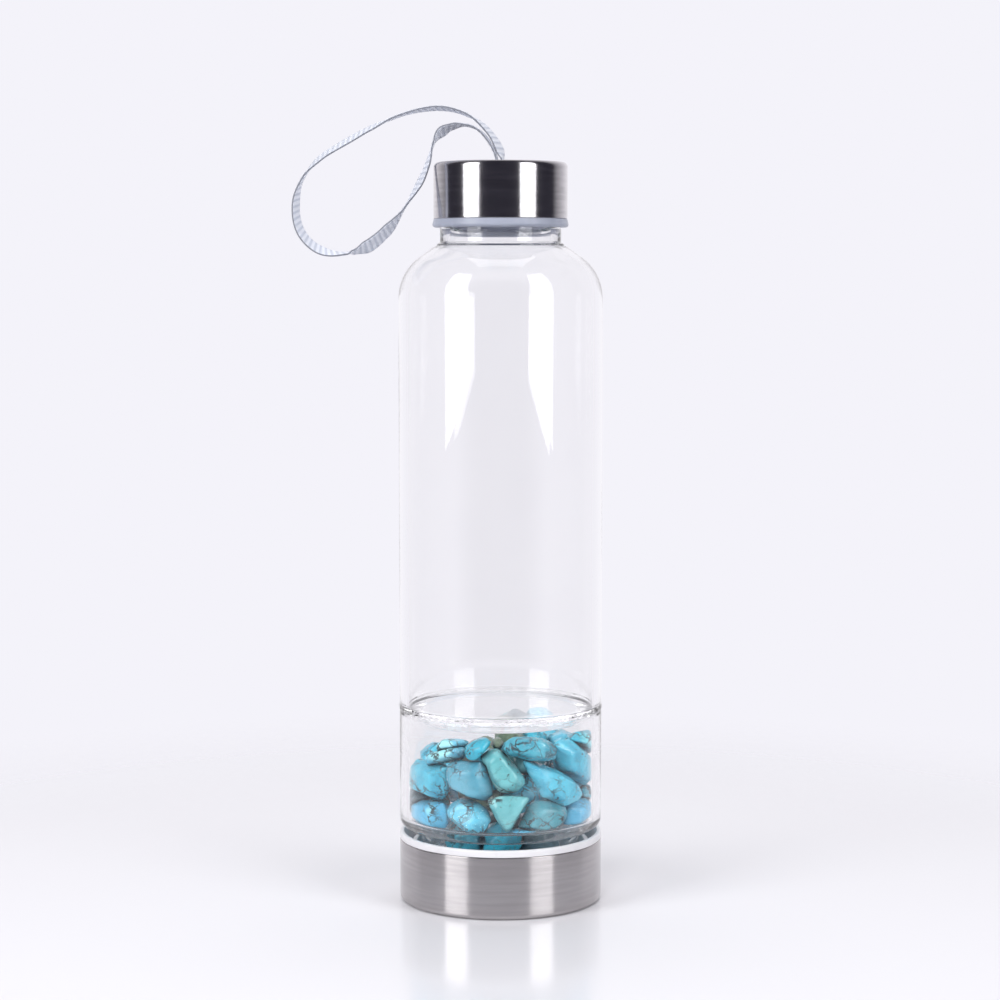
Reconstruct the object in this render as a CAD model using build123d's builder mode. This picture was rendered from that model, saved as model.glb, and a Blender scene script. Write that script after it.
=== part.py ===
from build123d import *

import math
import os

# A glass water bottle that unscrews from a steel base, with a stone chamber fused
# under its floor. The axis is +Z and z = 0 is the face that the base stands on.

# Driving dimensions, in millimetres
body_radius = 32.75
wall = 2.8
sheet = 0.6  # thickness of the steel cap and base
thread_pitch = 4.5

base_height = 20.0
collar_top = 22.3
shelf = 23.6  # underside of the glass, above the bottom neck
weld_height = 62.6  # where the upper glass is fused to the chamber's wall
shoulder_height = 203.2  # where the shoulder's slope would meet the body's side
shoulder_round = 16.0
neck_root_height = 212.2
rim_height = 233.2
cap_bottom = 220.4
cap_top = 238.3

cap_radius = 21.45
lip_radius = 22.0
lip_bottom = 217.6

# Bottle necks: the mouth and the wider one that screws into the base
mouth_root_radius = 18.0
mouth_crest_radius = 19.3
mouth_bore_radius = 15.6
neck_radius = 19.4  # plain part of the neck, under the cap
neck_bead_radius = 20.3
foot_root_radius = 25.6
foot_crest_radius = 26.8
foot_bore_radius = 22.9
foot_rim_height = 4.7

# Thread ridges: widths at the foot and at the crest, and how deep the foot is buried
glass_ridge_widths = (2.0, 0.9)
insert_ridge_widths = (1.7, 0.8)
ridge_bite = 0.2
mouth_turns = 1.75
other_turns = 2.0

# Threaded plastic inserts
liner_gap = 0.3  # between a glass thread's crest and the insert's bore
ridge_gap = 0.35  # between an insert's ridge and the glass between its threads
skin_gap = 0.05  # between an insert and its steel cover

gasket_height = 2.0
strap_width = 7.0
strap_thickness = 0.9

parts_folder = "parts"
os.makedirs(parts_folder, exist_ok=True)


def save(piece, name):
    """Label a finished piece and write it as its own STEP file."""
    piece.part.label = name
    export_step(piece.part, f"{parts_folder}/{name}.step")


def turned(points, radii, mode=Mode.ADD):
    """Revolve a closed outline of (radius, height) points with rounded corners."""
    with BuildSketch(Plane.XZ) as section:
        with BuildLine():
            FilletPolyline(*points, radius=radii, close=True)
        make_face()
    revolve(section.sketch, axis=Axis.Z, mode=mode)


def ridge(wall_radius, crest_radius, start, turns, widths):
    """Sweep one thread ridge up a helix, from the wall that carries it to its crest."""
    rise = crest_radius - wall_radius
    foot_radius = wall_radius - math.copysign(ridge_bite, rise)
    depth = crest_radius - foot_radius
    foot_width, crest_width = widths
    path = Helix(
        thread_pitch, turns * thread_pitch, foot_radius, center=(0, 0, start), mode=Mode.PRIVATE
    )
    outward = (path @ 0) - Vector(0, 0, start)
    with BuildSketch(Plane(path @ 0, x_dir=outward, z_dir=path % 0)) as section:
        with BuildLine():
            Polyline(
                (0, -foot_width / 2),
                (depth, -crest_width / 2),
                (depth, crest_width / 2),
                (0, foot_width / 2),
                close=True,
            )
        make_face()
    sweep(section.sketch, path=path, is_frenet=True)


# Glass: mouth neck, shoulder, body, fused floor, chamber and bottom neck in one piece
bore = body_radius - wall
slope = (neck_root_height - shoulder_height) / (body_radius - neck_bead_radius)
inner_drop = wall * math.hypot(1, slope)  # the wall's thickness, measured straight down
inner_shoulder = shoulder_height - inner_drop + wall * slope
flare_radius = mouth_bore_radius + 1.6  # the bore widens a little below the thread
flare_height = neck_root_height - inner_drop + (neck_bead_radius - flare_radius) * slope
flare_top = cap_bottom + 1.6
floor_top = weld_height + 0.2
floor_under = floor_top - 4.4
chamber_shelf = shelf + wall
round_over = floor_top - floor_under - 0.2  # radius of the floor's lower edge

with BuildPart() as glass_bottle:
    turned(
        [
            (0, foot_rim_height),
            (foot_root_radius, foot_rim_height),
            (foot_root_radius, shelf),
            (body_radius, shelf),
            (body_radius, shoulder_height),
            (neck_bead_radius, neck_root_height),
            (neck_radius, neck_root_height + 1.4),
            (neck_radius, lip_bottom + 0.3),
            (mouth_root_radius, cap_bottom - 1.1),
            (mouth_root_radius, rim_height),
            (0, rim_height),
        ],
        [0, 1.2, 1.2, 4.0, shoulder_round, 0.7, 0.7, 0.5, 0.6, 1.0, 0],
    )
    turned(
        [
            (0, foot_rim_height - 1),
            (foot_bore_radius, foot_rim_height - 1),
            (foot_bore_radius, chamber_shelf),
            (bore, chamber_shelf),
            (bore, floor_top - 0.8),
            (bore - 0.3, floor_top - 0.8),
            (bore - round_over, floor_under),
            (0, floor_under),
        ],
        [0, 0, 1.5, 2.5, 0, 0, 1.6, 0],
        mode=Mode.SUBTRACT,
    )
    turned(
        [
            (0, floor_top),
            (bore, floor_top),
            (bore, inner_shoulder),
            (flare_radius, flare_height),
            (mouth_bore_radius, flare_top),
            (mouth_bore_radius, rim_height + 1),
            (0, rim_height + 1),
        ],
        [0, 3.0, shoulder_round - wall, 2.5, 6.0, 0, 0],
        mode=Mode.SUBTRACT,
    )
    ridge(
        mouth_root_radius, mouth_crest_radius, cap_bottom + 1.8, mouth_turns, glass_ridge_widths
    )
    ridge(
        foot_root_radius, foot_crest_radius, foot_rim_height + 3.0, other_turns, glass_ridge_widths
    )
save(glass_bottle, "glass_bottle")

# Cap: steel cover, threaded insert, seal, and the clip that holds the strap's ends
strap_slot_length = strap_width + 2.4
strap_slot_width = 3.4
cap_bore = cap_radius - sheet

with BuildPart() as cap_shell:
    turned(
        [
            (0, cap_top - sheet),
            (cap_bore, cap_top - sheet),
            (cap_bore, cap_bottom),
            (cap_radius, cap_bottom),
            (cap_radius, cap_top),
            (0, cap_top),
        ],
        [0, 1.0, 0, 0, 1.6, 0],
    )
    with BuildSketch(Plane.XY.offset(cap_top - 2 * sheet)):
        SlotOverall(strap_slot_length, strap_slot_width, rotation=90)
    extrude(amount=3 * sheet, mode=Mode.SUBTRACT)
save(cap_shell, "cap_shell")

liner_bore = mouth_crest_radius + liner_gap
gasket_top = rim_height + gasket_height
liner_top = gasket_top + 1.4
well_radius = 7.5  # pocket in the middle of the insert, where the strap is held
well_floor = gasket_top - 2.4
well_wall = 1.3

with BuildPart() as cap_liner:
    turned(
        [
            (0, well_floor - well_wall),
            (well_radius + well_wall, well_floor - well_wall),
            (well_radius + well_wall, gasket_top),
            (liner_bore, gasket_top),
            (liner_bore, lip_bottom),
            (lip_radius, lip_bottom),
            (cap_radius - 0.1, cap_bottom - skin_gap),
            (cap_bore - skin_gap, cap_bottom - skin_gap),
            (cap_bore - skin_gap, liner_top),
            (well_radius, liner_top),
            (well_radius, well_floor),
            (0, well_floor),
        ],
        [0, 1.0, 0.5, 0.4, 0.5, 0.8, 0.3, 0, 1.0, 0.4, 0.6, 0],
    )
    ridge(
        liner_bore,
        mouth_root_radius + ridge_gap,
        cap_bottom - 0.6,
        other_turns,
        insert_ridge_widths,
    )
save(cap_liner, "cap_liner")

with BuildPart() as cap_gasket:
    turned(
        [
            (mouth_bore_radius - 0.6, rim_height),
            (mouth_root_radius + 0.8, rim_height),
            (mouth_root_radius + 0.8, gasket_top),
            (mouth_bore_radius - 0.6, gasket_top),
        ],
        [0.3, 0.3, 0.3, 0.3],
    )
save(cap_gasket, "cap_gasket")

clip_base = well_floor
clip_top = cap_top - sheet - 1.4
with BuildPart() as strap_clip:
    with BuildSketch(Plane.XY.offset(clip_base)):
        RectangleRounded(5.0, strap_width + 2.4, 1.0)
    extrude(amount=clip_top - clip_base)
    chamfer(strap_clip.faces().sort_by(Axis.Z)[-1].edges(), 0.4)
save(strap_clip, "strap_clip")

# Strap: one flat ribbon in a loop beside the cap, both ends in the clip. The points are
# (x, z) in the plane y = 0, and each bend is as large as its two runs allow.
strap_route = [
    (0.9, clip_top),
    (0.9, 241.5),
    (-5.9, 251.3),
    (-16.7, 255.9),
    (-28.3, 254.6),
    (-39.1, 250.4),
    (-49.0, 245.0),
    (-59.4, 238.8),
    (-65.5, 229.8),
    (-65.4, 216.7),
    (-57.1, 208.9),
    (-44.8, 209.5),
    (-35.7, 216.7),
    (-29.0, 226.2),
    (-23.4, 235.9),
    (-20.7, 248.4),
    (-8.7, 251.2),
    (-0.9, 241.5),
    (-0.9, clip_top),
]


def bend_radius(before, corner, after):
    """Radius of the largest tangent arc that leaves a tenth of the shorter run."""
    run_in = Vector(*corner) - Vector(*before)
    run_out = Vector(*after) - Vector(*corner)
    half_turn = math.radians(run_in.get_angle(run_out)) / 2
    return 0.45 * min(run_in.length, run_out.length) / math.tan(half_turn)


strap_radii = [bend_radius(*corner) for corner in zip(strap_route, strap_route[1:], strap_route[2:])]

with BuildPart() as strap:
    with BuildLine(Plane.XZ):
        strap_path = FilletPolyline(*strap_route, radius=strap_radii)
    with BuildSketch(Plane(strap_path @ 0, x_dir=(0, 1, 0), z_dir=strap_path % 0)):
        Rectangle(strap_width, strap_thickness)
    sweep(path=strap_path)
save(strap, "strap")
strap_length = strap_path.length
print("strap radii", [round(radius, 1) for radius in strap_radii])
print("strap length", round(strap_length, 1))
print("strap volume over section", round(strap.part.volume / strap_width / strap_thickness, 1))

# Base: steel cup, threaded insert with a collar on the cup's rim, and seal
base_bore = body_radius - sheet
insert_floor = foot_rim_height - gasket_height
sleeve_bore = foot_crest_radius + liner_gap
sleeve_radius = sleeve_bore + 1.5
sleeve_top = base_height - 1.0
insert_radius = base_bore - skin_gap
skirt_bore = insert_radius - 1.1

with BuildPart() as base_cup:
    turned(
        [
            (0, 0),
            (body_radius, 0),
            (body_radius, base_height),
            (base_bore, base_height),
            (base_bore, sheet),
            (0, sheet),
        ],
        [0, 1.6, 0.2, 0.2, 1.0, 0],
    )
save(base_cup, "base_cup")

with BuildPart() as base_liner:
    turned(
        [
            (0, sheet + skin_gap),
            (insert_radius, sheet + skin_gap),
            (insert_radius, base_height + skin_gap),
            (body_radius, base_height + skin_gap),
            (body_radius, collar_top),
            (skirt_bore + 0.4, collar_top),
            (skirt_bore, base_height),
            (skirt_bore, insert_floor),
            (sleeve_radius, insert_floor),
            (sleeve_radius, sleeve_top),
            (sleeve_bore, sleeve_top),
            (sleeve_bore, insert_floor),
            (0, insert_floor),
        ],
        [0, 1.2, 0, 0.3, 0.5, 0.3, 0, 0.5, 0.5, 0.4, 0.4, 0, 0],
    )
    ridge(
        sleeve_bore,
        foot_root_radius + ridge_gap,
        foot_rim_height + 0.75,
        other_turns,
        insert_ridge_widths,
    )
save(base_liner, "base_liner")

with BuildPart() as base_gasket:
    turned(
        [
            (foot_bore_radius - 0.3, insert_floor),
            (foot_root_radius + 0.8, insert_floor),
            (foot_root_radius + 0.8, foot_rim_height),
            (foot_bore_radius - 0.3, foot_rim_height),
        ],
        [0.3, 0.3, 0.3, 0.3],
    )
save(base_gasket, "base_gasket")

# Stones: tumbled chips packed in the chamber and the bottom neck. Each one is a flat
# outline that tapers towards both faces, cut back so that no two of them meet.
stone_gap = 0.35
wall_gap = 0.35
face_share = 0.6  # size of a stone's faces against its outline

with BuildPart() as chamber_space:
    turned(
        [
            (0, insert_floor + wall_gap),
            (foot_bore_radius - 0.8, insert_floor + wall_gap),
            (foot_bore_radius - 0.8, chamber_shelf + wall_gap),
            (bore - 2.5, chamber_shelf + wall_gap),
            (bore - wall_gap, chamber_shelf + 2.5),
            (bore - wall_gap, floor_under + 0.5),
            (bore - round_over - 1.5, floor_under - wall_gap),
            (0, floor_under - wall_gap),
        ],
        [0] * 8,
    )

# Stones against the front wall: the middle's x, y and z, the facing and the lean in
# degrees, the thickness, and the outline's (across, up) corners from the middle. A stone
# that comes earlier lies in front of a later one.
front_stones = [
    (2.4, -25.9, 33.0, (2, 10), 6.5, [(-6.3, 4.5), (-6.0, 2.9), (-3.5, -2.2), (-1.3, -5.8), (-0.3, -6.1), (1.0, -5.1), (6.3, 4.8), (6.0, 5.7), (-1.3, 6.1), (-4.7, 5.5)]),  # triangle
    (15.8, -19.7, 41.4, (31, -8), 7.5, [(-10.8, 7.9), (-8.6, 4.1), (-3.4, -4.2), (3.4, -7.2), (6.1, -7.1), (9.8, -5.6), (11.0, -3.7), (9.4, -0.7), (6.8, 1.6), (2.2, 4.0), (-3.8, 6.2), (-8.2, 7.6)]),  # wedge
    (-9.7, -22.8, 43.0, (-20, 6), 8.5, [(-7.8, 0.1), (-6.1, -3.0), (1.3, -5.7), (5.4, -6.0), (7.8, -4.3), (7.8, -1.4), (5.7, 4.9), (3.7, 6.7), (-1.3, 6.3), (-4.4, 5.8), (-7.1, 4.3)]),  # block
    (8.7, -23.7, 53.3, (12, -14), 7.5, [(-8.7, -0.1), (-7.1, -1.8), (-3.9, -2.6), (0.7, -3.7), (5.5, -3.9), (8.4, -3.1), (8.8, -0.2), (7.1, 2.1), (4.2, 3.5), (-0.3, 3.7), (-4.9, 3.5), (-7.4, 2.0)]),  # veined
    (-22.6, -11.9, 41.1, (-48, 6), 8, [(-9.5, -2.7), (-8.5, -3.9), (2.9, -5.4), (6.9, -5.5), (9.3, -2.2), (9.3, 6.2), (5.0, 6.6), (-5.4, 5.7), (-8.0, 1.1)]),  # pale
    (-9.7, -23.3, 31.5, (-20, -12), 7.5, [(-7.5, 2.0), (-6.8, -0.5), (-1.4, -4.3), (1.3, -6.0), (3.7, -5.8), (5.7, -3.8), (7.4, -1.1), (6.4, 2.1), (3.4, 4.1), (0.0, 5.5), (-2.7, 5.9), (-5.8, 4.1)]),  # speckled
    (-7.0, -23.8, 53.3, (-12, 22), 7, [(-4.1, -2.6), (-2.1, -3.8), (0.5, -2.7), (3.7, 1.6), (4.0, 3.2), (2.4, 3.8), (-1.5, 2.3), (-4.1, 0.3)]),  # teal
    (-21.8, -13.4, 30.0, (-48, 4), 7.5, [(-8.2, -1.0), (-5.2, -3.5), (-0.8, -5.0), (3.7, -4.3), (7.1, -2.8), (8.1, -0.0), (8.1, 3.2), (6.2, 5.2), (1.7, 5.2), (-5.2, 3.8), (-7.7, 2.7)]),  # striped
    (24.9, -7.5, 29.4, (54, 4), 7, [(-8.2, -2.2), (-5.4, -4.3), (0.3, -4.7), (6.1, -3.7), (8.4, -0.8), (7.8, 2.3), (3.1, 4.7), (-2.6, 4.7), (-6.6, 3.1)]),  # sky
    (12.9, -21.0, 31.2, (24, 8), 8, [(-8.4, -2.6), (-5.9, -3.8), (-1.0, -5.2), (4.2, -4.7), (7.4, -3.1), (8.5, -0.3), (7.7, 1.8), (5.6, 3.9), (2.4, 5.1), (-2.5, 5.2), (-4.9, 3.5), (-7.0, 0.1)]),  # oval
    (22.7, -10.5, 46.2, (44, 8), 8.5, [(-8.7, 8.1), (-7.3, 1.8), (-6.4, -1.2), (5.6, -9.1), (7.9, -7.8), (8.8, -3.6), (7.9, -0.2), (4.6, 3.5), (1.4, 6.5), (-1.9, 8.5), (-6.4, 9.1)]),  # large
    (0.6, -24.6, 46.4, (2, -6), 8, [(-6.8, 4.4), (-3.3, -3.3), (-1.1, -6.6), (1.4, -7.2), (4.3, -6.6), (6.8, -4.4), (6.8, -2.5), (4.3, 1.1), (0.2, 5.9), (-1.7, 7.2), (-4.6, 6.6)]),  # pebble
    (27.5, -2.8, 35.0, (58, 0), 6, [(-4.5, -0.9), (3.3, -3.5), (4.6, -2.1), (3.2, 1.1), (0.6, 2.9), (-3.9, 1.7)]),  # mottled
    (-26.4, -6.7, 33.2, (-52, 0), 6.5, [(-6.1, -1.0), (-4.4, -4.0), (-2.2, -4.6), (4.9, 0.8), (6.0, 2.3), (2.2, 4.0), (-2.2, 3.9), (-5.5, 2.4)]),  # grey
    (7.8, -24.6, 26.5, (8, 0), 6, [(-4.2, -0.7), (-0.6, -1.1), (3.5, -0.6), (4.2, 0.4), (-0.3, 1.1), (-4.2, 1.3)]),  # sliver
    (-16.6, -17.9, 49.9, (-32, -20), 8, [(-7.5, 0.1), (-7.1, -2.2), (-1.3, -1.9), (5.9, -0.9), (7.4, 0.9), (5.9, 2.4), (-5.5, 0.9)]),  # flat
    (25.8, -7.2, 52.0, (56, 6), 7, [(-6.9, 3.0), (4.6, -4.6), (7.0, -2.1), (7.0, 0.9), (4.5, 3.2), (-2.1, 4.2)]),  # top right
    (-15.0, -16.8, 53.3, (-28, -14), 8, [(-5.3, -1.9), (-2.4, -2.0), (1.6, -2.0), (4.9, -1.0), (5.3, 0.9), (1.6, 1.6), (-2.4, 1.9), (-4.9, -0.6)]),  # top left
    (-1.0, -20.5, 54.4, (0, 10), 6, [(-2.1, -0.3), (-0.5, -1.6), (1.1, -1.6), (2.1, 0.0), (1.1, 1.6), (-1.1, 1.3)]),  # olive
]


def oval_outline(width, height, corners, phase):
    """Corners unevenly spaced round an oval, which always make a convex outline."""
    outline = []
    for corner in range(corners):
        angle = math.tau * (corner + 0.3 * math.sin(3.7 * corner + phase)) / corners + phase
        outline.append((width / 2 * math.cos(angle), height / 2 * math.sin(angle)))
    return outline


def stones_in_ring(count, radius, height, size, first_angle, last_angle):
    """Stones spaced along part of a ring, in the same form as the front ones."""
    stones = []
    for index in range(count):
        angle = first_angle + (last_angle - first_angle) * index / max(count - 1, 1)
        wobble = math.sin(2.4 * index + height)
        x = (radius - 1.2 * wobble) * math.cos(math.radians(angle))
        y = (radius - 1.2 * wobble) * math.sin(math.radians(angle))
        outline = oval_outline(
            size * (1.2 + 0.15 * wobble), size * (1.05 - 0.12 * wobble), 5 + index % 3, index + height
        )
        stones.append(
            (x, y, height + 1.6 * wobble, (angle + 90 + 25 * wobble, 25 * wobble), size * 0.8, outline)
        )
    return stones


back_stones = (
    stones_in_ring(5, 22.5, 32.5, 13.5, 12, 168)
    + stones_in_ring(5, 22.0, 42.5, 13.0, 0, 172)
    + stones_in_ring(3, 20.5, 50.0, 11.0, 10, 80)
    + stones_in_ring(3, 9.0, 34.0, 14.0, -30, 210)
    + stones_in_ring(3, 9.0, 44.5, 13.5, 20, 250)
    + stones_in_ring(3, 9.5, 51.5, 11.0, -70, 60)
    + stones_in_ring(6, 13.5, 20.0, 13.0, -90, 210)
    + stones_in_ring(3, 9.0, 9.0, 13.5, 30, 270)
)


def span(outline, axis):
    """How far an outline reaches from end to end, across (0) or up (1)."""
    return max(corner[axis] for corner in outline) - min(corner[axis] for corner in outline)


def chip(seed, grow=0.0, mode=Mode.ADD):
    """One stone, with every side moved out by about the distance grow."""
    x, y, z, (facing, lean), thickness, outline = seed
    turn = math.radians(facing)
    middle = Plane(
        (x, y, z),
        x_dir=(math.cos(turn), math.sin(turn), 0),
        z_dir=(math.sin(turn), -math.cos(turn), 0),
    ).rotated((lean, 0, 0))
    larger = 1 + 2 * grow / min(span(outline, 0), span(outline, 1))
    half = thickness / 2 + grow
    rings = []
    for share, height in ((face_share, -half), (1.0, 0.0), (face_share, half)):
        size = larger * share
        rings.append(
            [middle.from_local_coords((across * size, up * size, height)) for across, up in outline]
        )
    sides = [Face(Wire.make_polygon(rings[0])), Face(Wire.make_polygon(rings[2]))]
    for lower, upper in zip(rings, rings[1:]):
        for index in range(len(outline)):
            corners = (lower[index - 1], lower[index], upper[index], upper[index - 1])
            sides.append(Face(Wire.make_polygon(corners)))
    add(Solid(Shell(sides)), mode=mode)


def reach(seed):
    """Radius of a ball about the stone's middle that holds it."""
    outline = seed[5]
    return math.hypot(seed[4], span(outline, 0), span(outline, 1)) / 2


stone_seeds = front_stones + back_stones
for number, seed in enumerate(stone_seeds):
    centre = Vector(*seed[:3])
    behind = number >= len(front_stones)
    with BuildPart() as stone:
        chip(seed)
        for other_number, other_seed in enumerate(stone_seeds):
            other = Vector(*other_seed[:3])
            apart = (other - centre).length
            if other_number == number or apart > reach(seed) + reach(other_seed):
                continue
            if behind and other_number >= len(front_stones):
                share = reach(seed) / (reach(seed) + reach(other_seed))
                edge = centre + (other - centre) * (share - stone_gap / 2 / apart)
                split(bisect_by=Plane(edge, z_dir=other - centre), keep=Keep.BOTTOM)
            elif other_number < number:
                chip(other_seed, grow=stone_gap, mode=Mode.SUBTRACT)
        add(chamber_space.part, mode=Mode.INTERSECT)
        largest = stone.part.solids().sort_by(SortBy.VOLUME)[-1]
        add(largest, mode=Mode.REPLACE)
    print(f"stone_{number + 1:02d} volume", round(stone.part.volume), "reach", round(reach(seed), 1))
    save(stone, f"stone_{number + 1:02d}")
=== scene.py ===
import bpy
import math
from mathutils import Matrix, Vector, noise


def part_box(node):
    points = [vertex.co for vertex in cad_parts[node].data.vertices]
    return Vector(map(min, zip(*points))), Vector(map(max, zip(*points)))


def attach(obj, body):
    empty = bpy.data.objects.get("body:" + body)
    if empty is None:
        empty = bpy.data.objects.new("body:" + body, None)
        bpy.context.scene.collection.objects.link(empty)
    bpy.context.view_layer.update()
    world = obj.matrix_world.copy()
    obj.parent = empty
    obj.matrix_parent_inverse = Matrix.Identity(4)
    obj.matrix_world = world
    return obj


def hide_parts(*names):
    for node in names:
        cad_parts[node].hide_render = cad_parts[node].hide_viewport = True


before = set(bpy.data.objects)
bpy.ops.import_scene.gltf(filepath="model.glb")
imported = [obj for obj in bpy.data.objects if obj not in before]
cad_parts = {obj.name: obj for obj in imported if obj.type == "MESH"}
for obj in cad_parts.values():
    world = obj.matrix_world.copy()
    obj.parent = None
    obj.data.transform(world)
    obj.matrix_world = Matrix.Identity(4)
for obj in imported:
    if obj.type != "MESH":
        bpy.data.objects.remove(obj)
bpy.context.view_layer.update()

scene = bpy.context.scene
mm = 0.001


def box(node):
    low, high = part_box(node)
    return Vector(low), Vector(high)


glassLow, glassHigh = box("glass_bottle")
shellLow, shellHigh = box("cap_shell")
cupHigh = box("base_cup")[1]
bodyRadius = glassHigh.x
print("frame loaded:", len(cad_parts), "nodes")

camera = {
    "eyeHeight": 0.2042,
    "distance": 0.8255,
    "lookDown": 5.13,  # degrees under the horizon
    "lens": 92.4,
    "sensor": 36,
    "shiftX": -0.0005,
}


def makeCamera(c):
    data = bpy.data.cameras.new("productCamera")
    data.lens = c["lens"]
    data.sensor_width = c["sensor"]
    data.shift_x = c["shiftX"]
    eye = bpy.data.objects.new("productCamera", data)
    scene.collection.objects.link(eye)
    eye.location = (0, -c["distance"], c["eyeHeight"])
    eye.rotation_euler = (math.radians(90 - c["lookDown"]), 0, 0)
    scene.camera = eye


makeCamera(camera)


# short ways to place nodes: a value that is a socket is linked, and any other value is set
def fill(tree, node, inputs):
    for name, value in inputs.items():
        if isinstance(value, bpy.types.NodeSocket):
            tree.links.new(value, node.inputs[name])
        else:
            node.inputs[name].default_value = value


def put(tree, kind, inputs=None, **settings):
    node = tree.nodes.new(kind)
    for name, value in settings.items():
        setattr(node, name, value)
    fill(tree, node, inputs or {})
    return node


def maths(tree, operation, first, second=0.0):
    return put(tree, "ShaderNodeMath", {0: first, 1: second}, operation=operation).outputs[0]


def vectors(tree, operation, first, second):
    return put(tree, "ShaderNodeVectorMath", {0: first, 1: second}, operation=operation).outputs["Vector"]


def spread(tree, value, fromMin, fromMax, toMin=0.0, toMax=1.0):
    inputs = {"Value": value, "From Min": fromMin, "From Max": fromMax, "To Min": toMin, "To Max": toMax}
    return put(tree, "ShaderNodeMapRange", inputs, interpolation_type="SMOOTHSTEP").outputs["Result"]


def blendColour(tree, amount, first, second):
    return put(tree, "ShaderNodeMix", {0: amount, 6: first, 7: second}, data_type="RGBA").outputs[2]


def objectPlace(tree):
    return put(tree, "ShaderNodeTexCoord").outputs["Object"]


def noiseAt(tree, place, scale, detail, roughness=0.5, distortion=0.0):
    inputs = {"Vector": place, "Scale": scale, "Detail": detail}
    inputs.update({"Roughness": roughness, "Distortion": distortion})
    return put(tree, "ShaderNodeTexNoise", inputs).outputs


def addBump(tree, shader, height, strength, distance):
    bump = put(tree, "ShaderNodeBump", {"Strength": strength, "Distance": distance, "Height": height})
    fill(tree, shader, {"Normal": bump.outputs[0]})


def newGroup(name, inputs, outputs):
    group = bpy.data.node_groups.new(name, "ShaderNodeTree")
    for label, kind, value in inputs:
        socket = group.interface.new_socket(label, in_out="INPUT", socket_type=kind)
        socket.default_value = value
    for label, kind in outputs:
        group.interface.new_socket(label, in_out="OUTPUT", socket_type=kind)
    start = group.nodes.new("NodeGroupInput")
    end = group.nodes.new("NodeGroupOutput")
    return group, start.outputs, end


def placeGroup(tree, group, values):
    return put(tree, "ShaderNodeGroup", values, node_tree=group).outputs


def newMaterial(name):
    material = bpy.data.materials.new(name)
    material.use_nodes = True
    tree = material.node_tree
    return material, tree, tree.nodes["Principled BSDF"]


numberSocket = "NodeSocketFloat"
colourSocket = "NodeSocketColor"
vectorSocket = "NodeSocketVector"


def makeBrushGroup():
    # fine lines that run round the axis on walls and in circles on flat ends
    group, given, end = newGroup(
        "turnedBrushing",
        [("Lines", numberSocket, 9000.0), ("Length", numberSocket, 3.0)],
        [("Height", numberSocket), ("Streak", numberSocket)],
    )
    part = put(group, "ShaderNodeSeparateXYZ", {"Vector": objectPlace(group)}).outputs
    flat = put(group, "ShaderNodeCombineXYZ", {"X": part["X"], "Y": part["Y"]}).outputs[0]
    radius = put(group, "ShaderNodeVectorMath", {0: flat}, operation="LENGTH").outputs["Value"]
    around = put(group, "ShaderNodeVectorMath", {0: flat}, operation="NORMALIZE").outputs["Vector"]
    along = put(group, "ShaderNodeVectorMath", {0: around, "Scale": given["Length"]}, operation="SCALE")
    across = maths(group, "MULTIPLY", maths(group, "ADD", part["Z"], radius), given["Lines"])
    lift = put(group, "ShaderNodeCombineXYZ", {"Z": across}).outputs[0]
    where = vectors(group, "ADD", along.outputs["Vector"], lift)
    fine = noiseAt(group, where, 1.0, 3.0, roughness=0.6)["Fac"]
    broad = noiseAt(group, vectors(group, "MULTIPLY", where, (0.5, 0.5, 0.12)), 1.0, 2.0)["Fac"]
    fill(group, end, {"Height": fine, "Streak": spread(group, broad, 0.35, 0.65)})
    return group


def makeHandlingGroup():
    # soft finger smudges
    group, given, end = newGroup(
        "handlingMarks",
        [("Patch Size", numberSocket, 90.0)],
        [("Smudge", numberSocket)],
    )
    patch = noiseAt(group, objectPlace(group), given["Patch Size"], 4.0, distortion=0.4)["Fac"]
    fill(group, end, {"Smudge": spread(group, patch, 0.45, 0.7)})
    return group


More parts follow.
